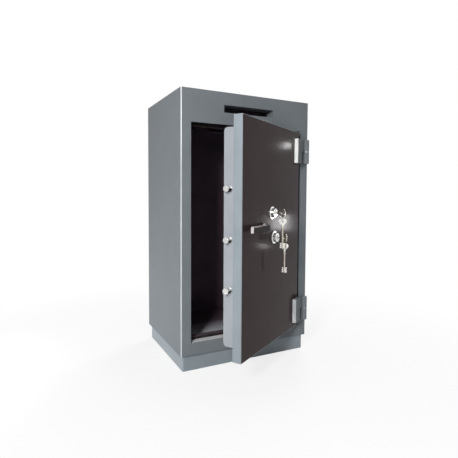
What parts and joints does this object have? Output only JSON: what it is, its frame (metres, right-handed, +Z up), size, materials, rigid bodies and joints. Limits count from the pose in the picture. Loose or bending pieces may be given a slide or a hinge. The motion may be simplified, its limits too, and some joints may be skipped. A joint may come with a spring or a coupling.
{
  "type": "deposit safe",
  "caption": "Floor-standing steel deposit safe with a drop slot above a thick hinged door, round bolts thrown by a lever handle, and key locks with keys on rings.",
  "frame": {"origin": "on the floor at the middle of the plinth's foot", "axes": "+Z up, front towards -Y, hinges on the +X side; the door stands ajar as in the picture"},
  "size_m": [0.54, 0.6888, 1],
  "materials": {
    "grey_paint": "semi-gloss blue-grey enamel with a fine texture",
    "door_edge_paint": "semi-gloss grey enamel",
    "door_face_paint": "semi-gloss brown-black enamel",
    "inside_paint": "dull brown-black paint",
    "cover_paint": "semi-gloss light grey enamel",
    "concrete_fill": "poured filling",
    "bright_steel": "turned and bright plated",
    "raw_steel": "rolled, oiled",
    "zinc_steel": "zinc plated",
    "lock_chrome": "polished chrome plate",
    "lever_steel": "blackened steel, polished at its edges",
    "dark_steel": "blackened steel",
    "brass": "turned",
    "key_nickel": "nickel plate, tumbled",
    "ring_wire": "bright spring wire"
  },
  "bodies": {
    "cabinet": {"outer_casing": "grey_paint", "back_plate": "grey_paint", "wall_filling": "concrete_fill", "inner_liner": "inside_paint", "door_frame": "grey_paint", "plinth": "grey_paint", "slot_lining": "grey_paint", "fishing_guard": "inside_paint", "upper_hinge_base": "grey_paint", "upper_hinge_pin": "bright_steel", "upper_hinge_washer": "zinc_steel", "lower_hinge_base": "grey_paint", "lower_hinge_pin": "bright_steel", "lower_hinge_washer": "zinc_steel"},
    "door": {"door_skin": "door_edge_paint", "door_face_panel": "door_face_paint", "door_filling": "concrete_fill", "door_back_plate": "door_edge_paint", "boltwork_cover": "cover_paint", "cover_posts": "raw_steel", "cover_screws": "zinc_steel", "bolt_bushes": "zinc_steel", "tail_keeper": "raw_steel", "spindle_bush": "dark_steel", "upper_hinge_leaf": "grey_paint", "lower_hinge_leaf": "grey_paint", "upper_lock_rose": "lock_chrome", "upper_lock_case": "zinc_steel", "lower_lock_rose": "lock_chrome", "lower_lock_case": "zinc_steel", "lock_screws": "zinc_steel"},
    "handle": {"lever_handle": "lever_steel", "spindle": "bright_steel", "drive_arm": "raw_steel", "drive_pin": "bright_steel"},
    "boltwork": {"upper_bolt": "bright_steel", "middle_bolt": "bright_steel", "lower_bolt": "bright_steel", "bolt_bar": "raw_steel", "tail_plate": "raw_steel", "tail_screws": "zinc_steel"},
    "upper_plug": {"upper_lock_plug": "lock_chrome"},
    "upper_lock_bolt": {"upper_lock_bolt": "brass"},
    "upper_key": {"upper_key": "key_nickel"},
    "upper_ring": {"upper_key_ring": "ring_wire"},
    "upper_spare": {"upper_spare_key": "key_nickel"},
    "lower_plug": {"lower_lock_plug": "lock_chrome"},
    "lower_lock_bolt": {"lower_lock_bolt": "brass"},
    "lower_key": {"lower_key": "key_nickel"},
    "lower_ring": {"lower_key_ring": "ring_wire"},
    "lower_spare": {"lower_spare_key": "key_nickel"}
  },
  "joints": [
    {"name": "door_swing", "type": "hinge", "parent": "cabinet", "child": "door", "pos_m": [0.247, -0.232, 0.4935], "axis": [0, 0, 1], "range_deg": [-32, 138]},
    {"name": "handle_turn", "type": "hinge", "parent": "door", "child": "handle", "pos_m": [-0.05978, -0.39775, 0.5255], "axis": [0.5299, -0.848, 0], "range_deg": [0, 60]},
    {"name": "bolt_slide", "type": "slide", "parent": "door", "child": "boltwork", "axis": [-0.848, -0.5299, 0], "range_m": [0, 0.018]},
    {"name": "upper_key_turn", "type": "hinge", "parent": "door", "child": "upper_plug", "pos_m": [0.00849, -0.3551, 0.571], "axis": [0.5299, -0.848, 0], "range_deg": [-90, 0]},
    {"name": "upper_lock_throw", "type": "slide", "parent": "door", "child": "upper_lock_bolt", "axis": [0, 0, -1], "range_m": [0, 0.01202]},
    {"name": "upper_key_pull", "type": "slide", "parent": "upper_plug", "child": "upper_key", "axis": [0.5299, -0.848, 0], "range_m": [0, 0.075]},
    {"name": "upper_ring_level", "type": "hinge", "parent": "upper_key", "child": "upper_ring", "pos_m": [0.03075, -0.39071, 0.562], "axis": [0.5299, -0.848, 0], "range_deg": [0, 90]},
    {"name": "upper_spare_swing", "type": "hinge", "parent": "upper_ring", "child": "upper_spare", "pos_m": [0.03075, -0.39071, 0.5445], "axis": [-0.848, -0.5299, 0], "range_deg": [-10, 45]},
    {"name": "lower_key_turn", "type": "hinge", "parent": "door", "child": "lower_plug", "pos_m": [0.02375, -0.34556, 0.4845], "axis": [0.5299, -0.848, 0], "range_deg": [0, 90]},
    {"name": "lower_lock_throw", "type": "slide", "parent": "door", "child": "lower_lock_bolt", "axis": [0, 0, 1], "range_m": [0, 0.01202]},
    {"name": "lower_key_pull", "type": "slide", "parent": "lower_plug", "child": "lower_key", "axis": [0.5299, -0.848, 0], "range_m": [0, 0.075]},
    {"name": "lower_ring_level", "type": "hinge", "parent": "lower_key", "child": "lower_ring", "pos_m": [0.04601, -0.38118, 0.4755], "axis": [0.5299, -0.848, 0], "range_deg": [-90, 0]},
    {"name": "lower_spare_swing", "type": "hinge", "parent": "lower_ring", "child": "lower_spare", "pos_m": [0.04601, -0.38118, 0.458], "axis": [-0.848, -0.5299, 0], "range_deg": [-10, 45]}
  ],
  "couplings": [
    {"joint": "bolt_slide", "follows": "handle_turn", "m_per_rad": 0.017189},
    {"joint": "upper_lock_throw", "follows": "upper_key_turn", "m_per_rad": -0.0076527},
    {"joint": "upper_ring_level", "follows": "upper_key_turn", "ratio": -1},
    {"joint": "lower_lock_throw", "follows": "lower_key_turn", "m_per_rad": 0.0076527},
    {"joint": "lower_ring_level", "follows": "lower_key_turn", "ratio": -1}
  ]
}
